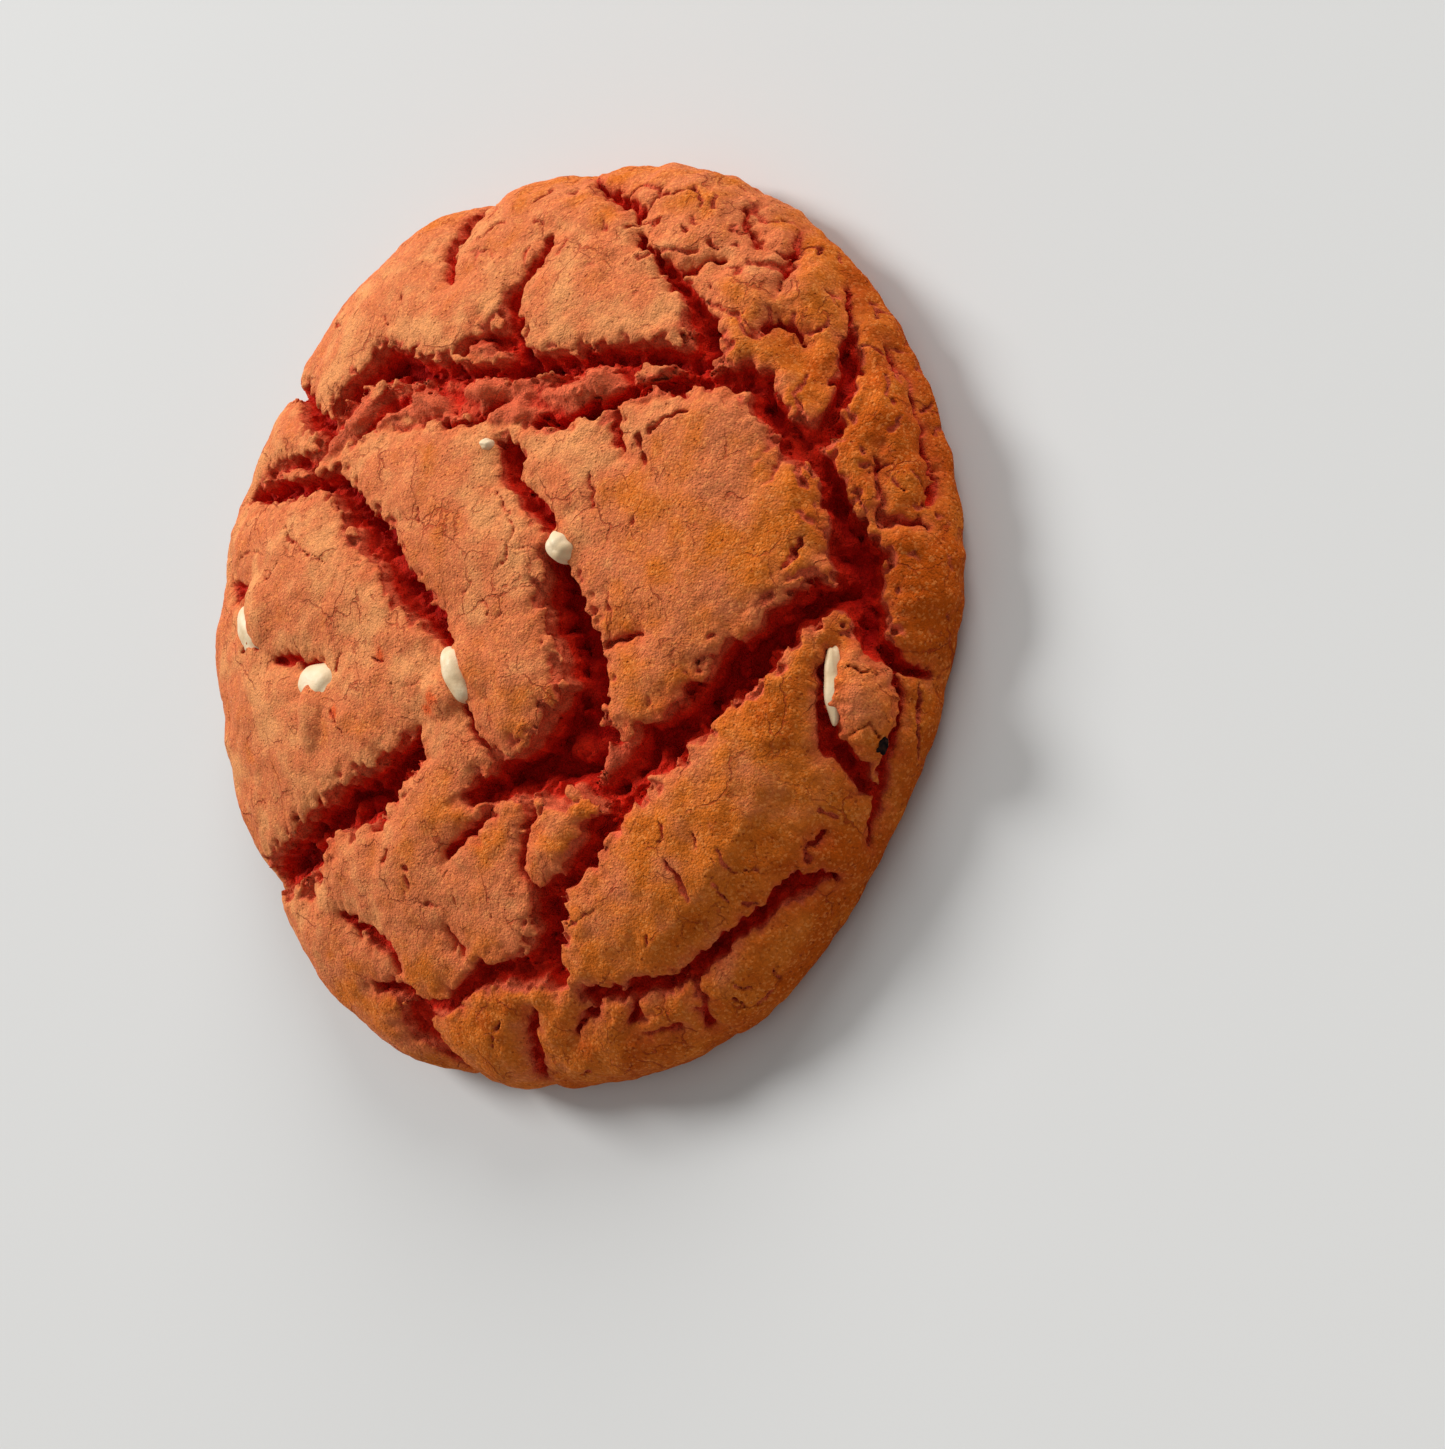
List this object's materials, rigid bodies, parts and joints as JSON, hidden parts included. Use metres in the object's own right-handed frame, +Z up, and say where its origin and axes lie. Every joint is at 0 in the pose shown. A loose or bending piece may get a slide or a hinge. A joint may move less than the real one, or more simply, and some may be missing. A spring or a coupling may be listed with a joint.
{
  "type": "strawberry white chocolate cookie",
  "caption": "Thick round domed soft cookie of red strawberry dough with a crackled golden pink crust and white chocolate chips showing.",
  "frame": {"origin": "on the flat underside, at the middle of the footprint", "axes": "+Z up out of the crackled face; lying flat, +Y is the top of the cookie as pictured and +X is its right"},
  "size_m": [0.1115, 0.1094, 0.0217],
  "materials": {
    "baked_crust": "matte, dry and sandy"
  },
  "bodies": {
    "root": {"cookie": "baked_crust"}
  },
  "joints": []
}
